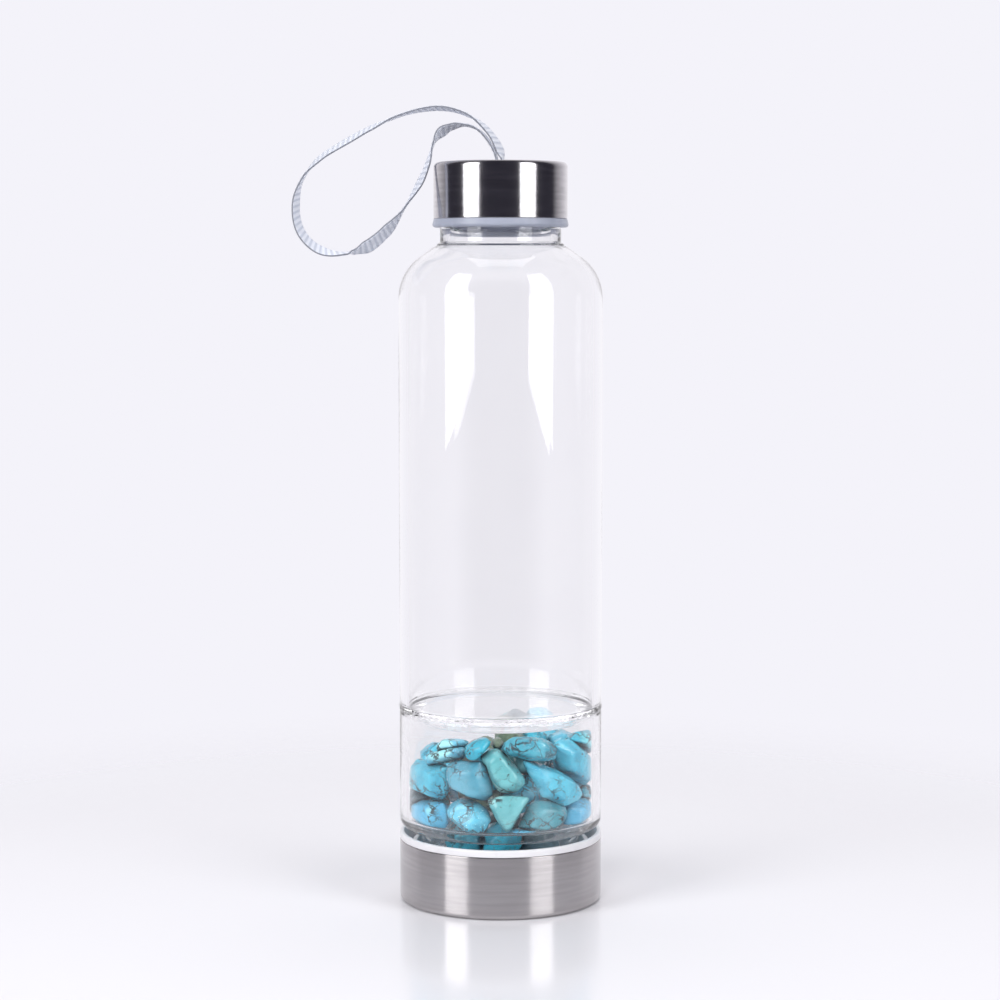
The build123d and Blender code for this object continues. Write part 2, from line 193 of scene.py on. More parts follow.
def makeStoneGroup():
    # mottled body colour, a web of dark matrix, pale chalky patches, fine pits and painted shade in the
    # creases
    group, given, end = newGroup(
        "turquoiseBody",
        [
            ("Deep", colourSocket, (0.02, 0.2, 0.3, 1)),
            ("Mid", colourSocket, (0.05, 0.35, 0.5, 1)),
            ("Pale", colourSocket, (0.4, 0.65, 0.75, 1)),
            ("Matrix", colourSocket, (0.012, 0.014, 0.016, 1)),
            # colour of the painted shade in the creases
            ("Painted Crease Shade", colourSocket, (0.012, 0.03, 0.045, 1)),
            ("Mottle Scale", numberSocket, 160.0),
            ("Pale Amount", numberSocket, 0.4),
            ("Matrix Amount", numberSocket, 0.3),
            ("Speck Amount", numberSocket, 0.2),
            ("Offset", vectorSocket, (0, 0, 0)),
        ],
        [("Color", colourSocket), ("Roughness", numberSocket), ("Height", numberSocket)],
    )

    def plus(first, second):
        return maths(group, "ADD", first, second)

    def minus(first, second):
        return maths(group, "SUBTRACT", first, second)

    def times(first, second):
        return maths(group, "MULTIPLY", first, second)

    where = vectors(group, "ADD", objectPlace(group), given["Offset"])
    mottle = noiseAt(group, where, given["Mottle Scale"], 5.0, 0.62, 0.5)
    wide = noiseAt(group, where, times(given["Mottle Scale"], 0.45), 3.0)["Fac"]
    grit = noiseAt(group, where, 1500.0, 2.0)["Fac"]
    body = blendColour(group, spread(group, mottle["Fac"], 0.32, 0.62), given["Deep"], given["Mid"])
    chalkEdge = minus(0.78, times(given["Pale Amount"], 0.45))
    chalk = spread(group, wide, chalkEdge, plus(chalkEdge, 0.12))
    body = blendColour(group, chalk, body, given["Pale"])
    # the matrix is a crackle between cells, broken up by noise
    bent = vectors(group, "MULTIPLY", mottle["Color"], (0.009, 0.009, 0.009))
    crackPlace = vectors(group, "ADD", where, bent)
    cells = {"Vector": crackPlace, "Scale": 210.0}
    crack = put(group, "ShaderNodeTexVoronoi", cells, feature="DISTANCE_TO_EDGE").outputs["Distance"]
    crackEdge = plus(times(given["Matrix Amount"], 0.06), 0.045)
    crackLine = spread(group, crack, 0.02, crackEdge, 1.0, 0.0)
    fade = spread(group, wide, minus(0.60, times(given["Matrix Amount"], 0.32)), 0.61)
    patch = spread(group, mottle["Fac"], minus(0.80, times(given["Matrix Amount"], 0.2)), 0.86)
    # small dark pits, only in some of the cells
    dot = put(group, "ShaderNodeTexVoronoi", {"Vector": crackPlace, "Scale": 330.0}).outputs
    lot = put(group, "ShaderNodeSeparateColor", {"Color": dot["Color"]}).outputs["Red"]
    pit = times(spread(group, dot["Distance"], 0.10, 0.22, 1.0, 0.0), spread(group, lot, 0.55, 0.60))
    matrix = maths(group, "MAXIMUM", maths(group, "MAXIMUM", times(crackLine, fade), patch), pit)
    body = blendColour(group, times(matrix, 0.95), body, given["Matrix"])
    speckEdge = minus(0.80, times(given["Speck Amount"], 0.25))
    speck = spread(group, grit, speckEdge, plus(speckEdge, 0.05))
    body = blendColour(group, speck, body, given["Pale"])
    # painted shade: ambient occlusion darkens the colour in the creases where stones touch
    near = put(group, "ShaderNodeAmbientOcclusion", {"Distance": 7 * mm}, samples=4).outputs["AO"]
    body = blendColour(group, spread(group, near, 0.2, 0.85, 0.92, 0.0), body, given["Painted Crease Shade"])
    rough = plus(plus(times(matrix, 0.25), times(chalk, 0.12)), 0.22)
    relief = minus(times(mottle["Fac"], 0.4), times(matrix, 0.5))
    fill(group, end, {"Color": body, "Roughness": rough, "Height": plus(relief, times(grit, 0.15))})
    return group


brushGroup = makeBrushGroup()
handlingGroup = makeHandlingGroup()
stoneGroup = makeStoneGroup()
print("shared effects built")

# spreadZ is how far the brushing stretches a highlight up and down
steelLooks = {
    "capSteel": {"colour": (0.60, 0.585, 0.61, 1), "rough": 0.19, "spreadZ": 0.88, "lines": 8000.0},
    "baseSteel": {"colour": (0.53, 0.505, 0.51, 1), "rough": 0.20, "spreadZ": 0.88, "lines": 8000.0},
    "clipSteel": {"colour": (0.55, 0.55, 0.56, 1), "rough": 0.3, "spreadZ": 0.2, "lines": 5000.0},
}
streakTone = 0.88  # a streak's share of the steel's colour


def makeSteel(name):
    look = steelLooks[name]
    material, tree, shader = newMaterial(name)
    brush = placeGroup(tree, brushGroup, {"Lines": look["lines"], "Length": 3.0})
    smudge = placeGroup(tree, handlingGroup, {"Patch Size": 70.0})["Smudge"]
    dull = tuple(part * streakTone for part in look["colour"][:3]) + (1,)
    rough = maths(tree, "ADD", look["rough"], maths(tree, "MULTIPLY", smudge, 0.035))
    fill(tree, shader, {
        "Base Color": blendColour(tree, brush["Streak"], dull, look["colour"]),
        "Roughness": maths(tree, "ADD", rough, maths(tree, "MULTIPLY", brush["Streak"], 0.03)),
        "Metallic": 1.0,
        "Anisotropic": look["spreadZ"],
        "Anisotropic Rotation": 0.25,
        "Tangent": put(tree, "ShaderNodeTangent", direction_type="RADIAL", axis="Z").outputs[0],
    })
    addBump(tree, shader, brush["Height"], 0.25, 0.02 * mm)
    return material


glassLook = {"colour": (1.0, 0.998, 0.998, 1), "smudged": (0.986, 0.984, 0.986, 1), "bending": 1.45}


def makeGlass(look):
    material, tree, shader = newMaterial("clearGlass")
    smudge = placeGroup(tree, handlingGroup, {"Patch Size": 35.0})["Smudge"]
    tint = blendColour(tree, maths(tree, "MULTIPLY", smudge, 0.6), look["colour"], look["smudged"])
    fill(tree, shader, {"Base Color": tint, "IOR": look["bending"]})
    fill(tree, shader, {"Transmission Weight": 1.0, "Roughness": 0.0})
    return material


# glow is how much light goes into the plastic and comes out beside where it entered
plasticLooks = {
    "capPlastic": {
        "colour": (0.42, 0.45, 0.55, 1), "dark": (0.37, 0.40, 0.50, 1),
        "rough": 0.35, "glow": 0.2, "grain": 1500.0,
    },
    "collarPlastic": {
        "colour": (0.86, 0.85, 0.88, 1), "dark": (0.80, 0.79, 0.82, 1),
        "rough": 0.38, "glow": 0.15, "grain": 1800.0,
    },
    "sealSilicone": {
        "colour": (0.72, 0.74, 0.77, 1), "dark": (0.66, 0.68, 0.71, 1),
        "rough": 0.55, "glow": 0.2, "grain": 1200.0,
    },
}


def makePlastic(name):
    look = plasticLooks[name]
    material, tree, shader = newMaterial(name)
    smudge = placeGroup(tree, handlingGroup, {"Patch Size": 120.0})["Smudge"]
    fill(tree, shader, {
        "Base Color": blendColour(tree, smudge, look["colour"], look["dark"]),
        "Roughness": maths(tree, "ADD", look["rough"], maths(tree, "MULTIPLY", smudge, 0.08)),
        "Subsurface Weight": look["glow"],
        "Subsurface Radius": (1.0, 1.0, 1.0),
        "Subsurface Scale": 1.5 * mm,
    })
    addBump(tree, shader, noiseAt(tree, objectPlace(tree), look["grain"], 2.0)["Fac"], 0.15, 0.03 * mm)
    return material


def stoneLook(deep, mid, pale, chalk, matrix, specks=0.2):
    return {
        "Deep": (*deep, 1), "Mid": (*mid, 1), "Pale": (*pale, 1),
        "Pale Amount": chalk, "Matrix Amount": matrix, "Speck Amount": specks,
    }


# two body colours, the chalk's colour, and how much chalk, dark matrix and specks a stone has
stoneLooks = {
    "turquoise": stoneLook((0.071, 0.47, 0.67), (0.12, 0.65, 0.85), (0.26, 0.84, 0.96), 0.35, 0.45),
    "skyBlue": stoneLook((0.086, 0.47, 0.74), (0.15, 0.63, 0.93), (0.32, 0.83, 0.96), 0.5, 0.4),
    "paleBlue": stoneLook((0.14, 0.53, 0.74), (0.21, 0.68, 0.88), (0.4, 0.89, 0.96), 0.5, 0.45),
    "greyBlue": stoneLook((0.077, 0.34, 0.47), (0.11, 0.43, 0.58), (0.23, 0.57, 0.69), 0.5, 0.35),
    "deepTeal": stoneLook((0.033, 0.35, 0.48), (0.062, 0.56, 0.75), (0.21, 0.85, 0.96), 0.35, 0.45),
    "greenBlue": stoneLook((0.14, 0.49, 0.53), (0.2, 0.6, 0.64), (0.33, 0.71, 0.7), 0.5, 0.5),
    "speckled": stoneLook((0.072, 0.4, 0.59), (0.14, 0.62, 0.82), (0.43, 0.92, 0.96), 0.45, 0.5, 0.6),
    "mutedTeal": stoneLook((0.06, 0.3, 0.37), (0.087, 0.39, 0.48), (0.18, 0.54, 0.62), 0.3, 0.55),
    "darkVeined": stoneLook((0.048, 0.32, 0.44), (0.099, 0.5, 0.64), (0.23, 0.68, 0.79), 0.4, 0.95),
    "greyStone": stoneLook((0.05, 0.08, 0.1), (0.16, 0.25, 0.29), (0.36, 0.46, 0.5), 0.5, 0.5),
    "olive": stoneLook((0.06, 0.1, 0.06), (0.18, 0.26, 0.18), (0.36, 0.42, 0.3), 0.4, 0.5),
}


def makeStone(name, number):
    material, tree, shader = newMaterial(name)
    # each finish is cut from its own place in the pattern
    values = {**stoneLooks[name], "Offset": (0.11 * number, -0.07 * number, 0.05 * number)}
    body = placeGroup(tree, stoneGroup, values)
    fill(tree, shader, {
        "Base Color": body["Color"],
        "Roughness": body["Roughness"],
        "Coat Weight": 0.25,
        "Coat Roughness": 0.15,
    })
    addBump(tree, shader, body["Height"], 0.5, 0.3 * mm)
    return material


ribbon = {
    "width": 6.0 * mm,
    "thick": 0.7 * mm,
    "threadsAcross": 9,
    "ribPitch": 1.9 * mm,
    "ribSlant": 1.2 * mm,  # how far a rib leans from one edge to the other
    "colour": (0.84, 0.87, 0.97, 1),
    "shade": (0.55, 0.59, 0.70, 1),
    "faded": (0.70, 0.74, 0.83, 1),
    # painted shade for the ribbon's edges, where its thickness is seen in shade
    "edge": (0.26, 0.27, 0.32, 1),
}


def makeRibbonMaterial(r):
    # the map's U runs across the ribbon from 0 to 1, and V along it in metres
    material, tree, shader = newMaterial("wovenRibbon")
    weave = put(tree, "ShaderNodeUVMap", uv_map="weave").outputs[0]
    part = put(tree, "ShaderNodeSeparateXYZ", {"Vector": weave}).outputs
    warp = maths(tree, "SINE", maths(tree, "MULTIPLY", part["X"], math.tau * r["threadsAcross"]))
    slant = maths(tree, "ADD", part["Y"], maths(tree, "MULTIPLY", part["X"], r["ribSlant"]))
    weft = maths(tree, "SINE", maths(tree, "MULTIPLY", slant, math.tau / r["ribPitch"]))
    height = maths(tree, "ADD", maths(tree, "MULTIPLY", weft, 0.8), maths(tree, "MULTIPLY", warp, 0.2))
    fade = noiseAt(tree, objectPlace(tree), 160.0, 3.0)["Fac"]
    raised = spread(tree, height, -0.9, 0.5)
    # painted shade: the ribbon's two edges are darkened as if seen edge-on in shade
    edgeShade = spread(tree, maths(tree, "ABSOLUTE", maths(tree, "SUBTRACT", part["X"], 0.5)), 0.472, 0.490)
    tone = blendColour(tree, raised, r["shade"], r["colour"])
    tone = blendColour(tree, maths(tree, "MULTIPLY", fade, 0.3), tone, r["faded"])
    fill(tree, shader, {
        "Base Color": blendColour(tree, edgeShade, tone, r["edge"]),
        "Roughness": spread(tree, raised, 0.0, 1.0, 0.75, 0.55),
        "Sheen Weight": 0.25,
    })
    addBump(tree, shader, height, 0.6, 0.12 * mm)
    return material


steels = {name: makeSteel(name) for name in steelLooks}
plastics = {name: makePlastic(name) for name in plasticLooks}
stones = {name: makeStone(name, number) for number, name in enumerate(stoneLooks)}
glassMaterial = makeGlass(glassLook)
ribbonMaterial = makeRibbonMaterial(ribbon)
print("materials built")


def addPiece(name, verts, faces, material, sharp=None):
    # corners blunter than the sharp angle, in degrees, are shaded smooth
    mesh = bpy.data.meshes.new(name)
    mesh.from_pydata(verts, [], faces)
    mesh.update()
    mesh.shade_smooth()
    if sharp:
        mesh.set_sharp_from_angle(angle=math.radians(sharp))
    mesh.materials.append(material)
    piece = bpy.data.objects.new(name, mesh)
    scene.collection.objects.link(piece)
    return piece


def settle(piece, body, slot, *nodes):
    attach(piece, body)
    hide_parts(*nodes)


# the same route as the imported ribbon's, in metres, in the plane y = 0
strapRoute = [
    (0.0009, 0.2363),
    (0.0009, 0.2415),
    (-0.0059, 0.2513),
    (-0.0167, 0.2559),
    (-0.0283, 0.2546),
    (-0.0391, 0.2504),
    (-0.0490, 0.2450),
    (-0.0594, 0.2388),
    (-0.0655, 0.2298),
    (-0.0654, 0.2167),
    (-0.0571, 0.2089),
    (-0.0448, 0.2095),
    (-0.0357, 0.2167),
    (-0.0290, 0.2262),
    (-0.0234, 0.2359),
    (-0.0207, 0.2484),
    (-0.0087, 0.2512),
    (-0.0009, 0.2415),
    (-0.0009, 0.2363),
]
# degrees that the ribbon's face is turned, at shares of its length: above zero shows the
# loop's inner face to the front, and below zero its outer face
strapTwist = [
    (0.0, 0), (0.012, -4), (0.03, -24), (0.07, -15), (0.118, 3), (0.16, 8), (0.235, 0),
    (0.279, -15), (0.317, -19), (0.375, -16), (0.416, 0), (0.465, 18), (0.52, 22), (0.55, 24),
    (0.599, 5), (0.61, -12), (0.634, -38), (0.673, -32), (0.724, 2), (0.773, 20), (0.802, 14),
    (0.838, 0), (0.864, -28), (0.881, -16), (0.905, 0), (0.947, 5), (0.98, 3), (1.0, 0),
]


def strapSpline():
    curve = bpy.data.curves.new("strapRoute", "CURVE")
    curve.dimensions = "3D"
    curve.resolution_u = 24
    spline = curve.splines.new("NURBS")
    spline.points.add(len(strapRoute) - 1)
    for point, (x, z) in zip(spline.points, strapRoute):
        point.co = (x, 0, z, 1)
    spline.order_u = 3
    spline.use_endpoint_u = True
    holder = bpy.data.objects.new("strapRoute", curve)
    scene.collection.objects.link(holder)
    bpy.context.view_layer.update()
    line = bpy.data.meshes.new_from_object(holder)
    points = [vertex.co.copy() for vertex in line.vertices]
    bpy.data.objects.remove(holder)
    return points


def eased(share):
    return share * share * (3 - 2 * share)


def easedValue(keys, at):
    for (a, first), (b, second) in zip(keys, keys[1:]):
        if at <= b:
            return first + (second - first) * eased((at - a) / (b - a))
    return keys[-1][1]


def ribbonSection(r):
    # a flat band with square-cut edges, a little fuller at its two selvages
    steps = 12
    section = []
    for step in range(steps + 1):
        fromMiddle = abs(step - steps // 2)
        fullness = {steps // 2: 0.55, steps // 2 - 1: 1.12}.get(fromMiddle, 1.0)
        section.append((r["width"] * (step / steps - 0.5), r["thick"] / 2 * fullness))
    return section + [(across, -high) for across, high in reversed(section)]


def makeRibbon(r, line):
    lengths = [0.0]
    for before, after in zip(line, line[1:]):
        lengths.append(lengths[-1] + (after - before).length)
    total = lengths[-1]
    ring = ribbonSection(r)
    verts, uvs = [], []
    for index, point in enumerate(line):
        ahead = line[min(index + 1, len(line) - 1)]
        behind = line[max(index - 1, 0)]
        forward = (ahead - behind).normalized()
        turn = Matrix.Rotation(math.radians(easedValue(strapTwist, lengths[index] / total)), 3, forward)
        acrossAxis = turn @ Vector((0, 1, 0))
        faceAxis = forward.cross(acrossAxis)
        for across, high in ring:
            verts.append(point + acrossAxis * across + faceAxis * high)
            uvs.append((across / r["width"] + 0.5, lengths[index]))
    count = len(ring)
    last = (len(line) - 1) * count
    faces = []
    for start in range(0, last, count):
        for k in range(count):
            a, b = start + k, start + (k + 1) % count
            faces.append((a, b, b + count, a + count))
    faces.append(tuple(reversed(range(count))))
    faces.append(tuple(range(last, last + count)))
    piece = addPiece("wristStrap", verts, faces, ribbonMaterial)
    weave = piece.data.uv_layers.new(name="weave")
    for loop in piece.data.loops:
        weave.data[loop.index].uv = uvs[loop.vertex_index]
    return piece, total


strapLine = strapSpline()
strapPiece, strapLength = makeRibbon(ribbon, strapLine)
settle(strapPiece, "cap", "strap_ribbon", "strap")
print("strap made, mm:", round(strapLength / mm, 1))


# turned pieces: an outline of (radius, height, rounding) corners in millimetres, spun round the axis
def roundOutline(corners, smooth):
    out = []
    spots = [Vector(corner[:2]) for corner in corners]
    for index, here in enumerate(spots):
        rounding = corners[index][2]
        if not rounding:
            out.append(here * mm)
            continue
        inward = (spots[index - 1] - here).normalized()
        outward = (spots[(index + 1) % len(spots)] - here).normalized()
        half = inward.angle(outward) / 2
        reach = rounding / math.tan(half)
        centre = here + (inward + outward).normalized() * rounding / math.sin(half)
        start = here + inward * reach - centre
        end = here + outward * reach - centre
        turn = start.angle_signed(end)
        steps = max(3, int(abs(turn) * smooth))
        for step in range(steps + 1):
            angle = -turn * step / steps
            spun = Vector((
                start.x * math.cos(angle) - start.y * math.sin(angle),
                start.x * math.sin(angle) + start.y * math.cos(angle),
            ))
            out.append((centre + spun) * mm)
    return out


def cutSteps(line, gap, low, high):
    # adds rings to the straight stretches between two heights
    out = []
    slack = 1e-9
    for point, after in zip(line, line[1:]):
        out.append(point)
        inside = low <= min(point.y, after.y) + slack and max(point.y, after.y) <= high + slack
        steps = int((after - point).length / gap) if inside else 0
        for step in range(1, steps):
            out.append(point.lerp(after, step / steps))
    out.append(line[-1])
    return out


def onWall(radius, wall):
    return abs(radius - wall * mm) < 0.02 * mm


threadPitch = 4.5 * mm
threadRunout = 0.06  # share of a turn over which a thread rises and dies away


def threadHeight(thread, angle, z):
    # radial height of a helical ridge, in metres, at an angle and a height
    turnHere = angle / math.tau
    along = turnHere + round((z - thread["start"]) / threadPitch - turnHere)
    if along < 0 or along > thread["turns"]:
        return 0.0
    offset = abs(z - thread["start"] - along * threadPitch)
    flank = (thread["root"] - offset) / (thread["root"] - thread["crest"])
    ends = min(along, thread["turns"] - along) / threadRunout
    return thread["depth"] * eased(min(max(flank, 0.0), 1.0)) * eased(min(max(ends, 0.0), 1.0))


def turnPiece(name, line, segments, material, shape=None, closed=False):
    # an outline that runs anticlockwise, seen with the axis on its left, faces outward
    if sum(a.x * b.y - b.x * a.y for a, b in zip(line, line[1:] + line[:1])) < 0:
        line = line[::-1]
    verts, rings = [], []
    for point in line:
        if point.x < 1e-7:  # a point on the axis needs no ring
            rings.append([len(verts)])
            verts.append((0, 0, point.y))
            continue
        rings.append(list(range(len(verts), len(verts) + segments)))
        for k in range(segments):
            angle = math.tau * k / segments
            radius = point.x + (shape(angle, point.x, point.y) if shape else 0.0)
            verts.append((radius * math.cos(angle), radius * math.sin(angle), point.y))
    faces = []
    for lower, upper in zip(rings, rings[1:] + ([rings[0]] if closed else [])):
        for k in range(segments):
            n = (k + 1) % segments
            if len(lower) == 1:
                faces.append((lower[0], upper[n], upper[k]))
            elif len(upper) == 1:
                faces.append((lower[k], lower[n], upper[0]))
            else:
                faces.append((lower[k], lower[n], upper[n], upper[k]))
    return addPiece(name, verts, faces, material, sharp=38)


glass = {
    "wall": 2.8,
    "shoulder": 203.2,
    "shoulderRound": 16.0,
    "shoulderWall": 1.9,  # blown thinner there
    "neckRoot": 212.2,
    "neckRadius": 19.4,
    "neckTop": 217.9,
    "beadRadius": 20.3,
    # corners of the neck's bead: outward from its radius, up from the neck's root, and rounding
    "bead": [(-0.9, 0.8, 0.4), (0, 0.15, 0.2), (0.1, -0.45, 0.15)],
    "threadFoot": 219.3,
    "mouthRadius": 18.0,
    "mouthBore": 15.6,
    "flare": 1.6,
    "flareTop": 222.0,
    "weld": 62.6,  # height of the fused seam
    # corners of the seam: swell past the wall, up from the weld, and rounding
    "seam": [
        (0, 2.3, 0.9), (-0.13, 1.6, 0.6), (0.12, 0.9, 0.25),
        (0.12, 0.3, 0.25), (-0.16, -0.4, 0.6), (0, -1.2, 0.9),
    ],
    "seamRipple": 0.2,
    "boreRipple": 0.05,
    "floorTop": 62.8,
    "floorUnder": 58.4,
    "floorBevel": 4.2,
    "shelf": 23.6,
    "footRadius": 25.6,
    "footBore": 22.9,
    "segments": 320,
}
mouthThread = {"start": 222.2 * mm, "turns": 1.75, "root": 1.0 * mm, "crest": 0.4 * mm, "depth": 1.3 * mm}
footThread = {"start": 7.7 * mm, "turns": 2.0, "root": 1.0 * mm, "crest": 0.4 * mm, "depth": 1.2 * mm}


def makeGlassBottle(g):
    outer = bodyRadius / mm
    bore = outer - g["wall"]
    rim, foot = glassHigh.z / mm, glassLow.z / mm
    slope = (g["neckRoot"] - g["shoulder"]) / (outer - g["beadRadius"])
    drop = g["shoulderWall"] * math.hypot(1, slope)
    flareRadius = g["mouthBore"] + g["flare"]
    shelfTop = g["shelf"] + g["wall"]
    floorLip = g["floorTop"] - 0.8
    line = roundOutline([
        (0, g["floorTop"], 0),
        (bore, g["floorTop"], 1.6),
        (bore, g["shoulder"] - drop + g["wall"] * slope, g["shoulderRound"] - g["shoulderWall"]),
        (flareRadius, g["neckRoot"] - drop + (g["beadRadius"] - flareRadius) * slope, 2.5),
        (g["mouthBore"], g["flareTop"], 6.0),
        (g["mouthBore"], rim, 0.9),
        (g["mouthRadius"], rim, 1.0),
        (g["mouthRadius"], g["threadFoot"], 0.5),
        (g["neckRadius"], g["neckTop"], 0.5),
        *[(g["beadRadius"] + outward, g["neckRoot"] + up, soft) for outward, up, soft in g["bead"]],
        (g["beadRadius"] + 1, g["neckRoot"] - slope, 0.5),
        (outer, g["shoulder"], g["shoulderRound"]),
        *[(outer + swell, g["weld"] + up, soft) for swell, up, soft in g["seam"]],
        (outer, g["shelf"], 3.4),
        (g["footRadius"], g["shelf"], 1.2),
        (g["footRadius"], foot, 1.0),
        (g["footBore"], foot, 1.0),
        (g["footBore"], shelfTop, 1.5),
        (bore, shelfTop, 1.6),
        (bore, floorLip, 0),
        (bore - 0.3, floorLip, 0),
        (bore - g["floorBevel"], g["floorUnder"], 1.6),
        (0, g["floorUnder"], 0),
    ], 10)
    line = cutSteps(line, 0.25 * mm, g["threadFoot"] * mm, rim * mm)
    line = cutSteps(line, 0.25 * mm, foot * mm, g["shelf"] * mm)
    line = cutSteps(line, 3.0 * mm, 64 * mm, 200 * mm)

    def shape(angle, radius, z):
        c1, s1 = math.cos(angle), math.sin(angle)
        if onWall(radius, g["mouthRadius"]):
            return threadHeight(mouthThread, angle, z)
        if onWall(radius, g["footRadius"]) and z < g["shelf"] * mm:
            return threadHeight(footThread, angle, z)
        if onWall(radius, bore):  # a drawn tube's bore is never quite even
            return noise.noise(Vector((c1 * 1.1, s1 * 1.1, z / mm / 45))) * g["boreRipple"] * mm
        near = 1 - abs(z / mm - g["weld"] - 0.6) / 1.4
        if radius > bore * mm and near > 0:  # a torch leaves a seam rippled
            return noise.noise(Vector((c1 * 24, s1 * 24, z / mm * 0.7))) * near * g["seamRipple"] * mm
        return 0.0

    piece = turnPiece("glassBottle", line, g["segments"], glassMaterial, shape)
    piece.visible_shadow = False
    piece.visible_diffuse = False
    settle(piece, "bottle", "clear_glass", "glass_bottle")


makeGlassBottle(glass)
print("glass made")

capPart = {
    "sheet": 0.6,
    "edgeRound": 1.6,
    "lipBottom": 217.6,
    "lipRadius": 22.0,
    "boreRadius": 19.6,
    "gasketTop": 235.2,
    "wellRadius": 7.5,
    "wellFloor": 232.8,
    "wellWall": 1.3,
    "linerTop": 236.6,
    "slotLength": 8.4,
    "slotWidth": 3.4,
    "clipPinch": 0.16,
    "clipRows": 10,
    "clipAround": 40,
}
capThread = {"start": 219.8 * mm, "turns": 2.0, "root": 0.85 * mm, "crest": 0.35 * mm, "depth": -1.2 * mm}
fit = 0.05  # gap between a pressed sheet and the plastic inside it


def makeCapShell(c):
    radius, low, top = shellHigh.x / mm, shellLow.z / mm, shellHigh.z / mm
    inner = radius - c["sheet"]
    # the top starts at the slot, whose edge is drawn over the first ring
    slotEnd = c["slotLength"] / 2
    arc = c["slotWidth"] / 2
    half = slotEnd - arc
    line = roundOutline([
        (slotEnd, top - c["sheet"], 0.15),
        (inner, top - c["sheet"], 1.0),
        (inner, low, 0.15),
        (radius, low, 0.15),
        (radius, top, c["edgeRound"]),
        (slotEnd, top, 0.2),
    ], 12)

    def shape(angle, ringRadius, z):
        if ringRadius > (slotEnd + 0.3) * mm:
            return 0.0
        c1, s1 = abs(math.cos(angle)), abs(math.sin(angle))
        straight = arc / max(c1, 1e-6)  # reach of the slot's long side at this angle
        if c1 * half < s1 * arc * 1e3 and straight * s1 <= half:
            return (straight - slotEnd) * mm
        return (s1 * half + math.sqrt(max(arc * arc - (c1 * half) ** 2, 0)) - slotEnd) * mm

    piece = turnPiece("capShell", line, 256, steels["capSteel"], shape, closed=True)
    settle(piece, "cap", "brushed_steel", "cap_shell")


def makeCapLiner(c):
    radius = shellHigh.x / mm
    inner = radius - c["sheet"] - fit
    low = shellLow.z / mm - fit
    wellUnder = c["wellFloor"] - c["wellWall"]
    wellSide = c["wellRadius"] + c["wellWall"]
    line = roundOutline([
        (0, wellUnder, 0),
        (wellSide, wellUnder, 1.0),
        (wellSide, c["gasketTop"], 0.5),
        (c["boreRadius"], c["gasketTop"], 0.4),
        (c["boreRadius"], c["lipBottom"], 0.5),
        (c["lipRadius"], c["lipBottom"], 0.9),
        (radius - 0.1, low, 0.3),
        (inner, low, 0),
        (inner, c["linerTop"], 1.0),
        (c["wellRadius"], c["linerTop"], 0.4),
        (c["wellRadius"], c["wellFloor"], 0.6),
        (0, c["wellFloor"], 0),
    ], 10)
    line = cutSteps(line, 0.3 * mm, c["lipBottom"] * mm, c["gasketTop"] * mm)

    def shape(angle, ringRadius, z):
        return threadHeight(capThread, angle, z) if onWall(ringRadius, c["boreRadius"]) else 0.0

    piece = turnPiece("capLiner", line, 256, plastics["capPlastic"], shape)
    settle(piece, "cap", "cap_liner_plastic", "cap_liner")


def makeSeal(name, node, body, inner):
    low, high = box(node)
    outer, bottom, top = high.x / mm, low.z / mm, high.z / mm
    middle = (bottom + top) / 2
    # its outer edge has a shallow groove
    line = roundOutline([
        (inner, bottom, 0.35),
        (outer, bottom, 0.35),
        (outer, middle - 0.2, 0.1),
        (outer - 0.15, middle, 0.1),
        (outer, middle + 0.2, 0.1),
        (outer, top, 0.35),
        (inner, top, 0.35),
    ], 8)
    piece = turnPiece(name, line, 160, plastics["sealSilicone"], closed=True)
    settle(piece, body, "seal_silicone", node)


def makeStrapClip(c):
    low, high = box("strap_clip")
    centre = (low + high) / 2
    half = (high - low) / 2
    # a rounded block with a crimped waist over the ribbon's two ends
    rows, around = c["clipRows"], c["clipAround"]
    verts, faces = [], []
    for row in range(rows + 1):
        level = row / rows
        pinch = 1 - c["clipPinch"] * math.exp(-((level - 0.55) / 0.18) ** 2)
        fromEnd = min(level, 1 - level) * 2 * half.z
        inset = max(0.0, 0.4 * mm - fromEnd) * 0.7
        for k in range(around):
            angle = math.tau * k / around
            c1, s1 = math.cos(angle), math.sin(angle)
            x = math.copysign(abs(c1) ** 0.35, c1) * (half.x * pinch - inset)
            y = math.copysign(abs(s1) ** 0.35, s1) * (half.y - inset)
            verts.append((centre.x + x, centre.y + y, low.z + 2 * half.z * level))
    for row in range(rows):
        for k in range(around):
            a, b = row * around + k, row * around + (k + 1) % around
            faces.append((a, b, b + around, a + around))
    faces.append(tuple(reversed(range(around))))
    faces.append(tuple(range(rows * around, (rows + 1) * around)))
    piece = addPiece("strapClip", verts, faces, steels["clipSteel"], sharp=40)
    settle(piece, "cap", "clip_steel", "strap_clip")


makeCapShell(capPart)
makeCapLiner(capPart)
makeSeal("capSeal", "cap_gasket", "cap_seal", glass["mouthBore"] - 0.6)
makeStrapClip(capPart)
print("cap made")

basePart = {
    "sheet": 0.6,
    "footRound": 1.6,
    "collarTop": 22.3,
    "insertFloor": 2.7,
    "sleeveBore": 27.1,
    "sleeveRadius": 28.6,
    "sleeveTop": 19.0,
    "skirtWall": 1.1,
}
baseThread = {"start": 5.45 * mm, "turns": 2.0, "root": 0.85 * mm, "crest": 0.35 * mm, "depth": -1.15 * mm}


def makeBaseCup(b):
    radius, top = cupHigh.x / mm, cupHigh.z / mm
    inner = radius - b["sheet"]
    line = roundOutline([
        (0, 0, 0),
        (radius, 0, b["footRound"]),
        (radius, top, 0.2),
        (inner, top, 0.2),
        (inner, b["sheet"], 1.0),
        (0, b["sheet"], 0),
    ], 14)
    piece = turnPiece("baseCup", line, 320, steels["baseSteel"])
    settle(piece, "base", "brushed_steel", "base_cup")


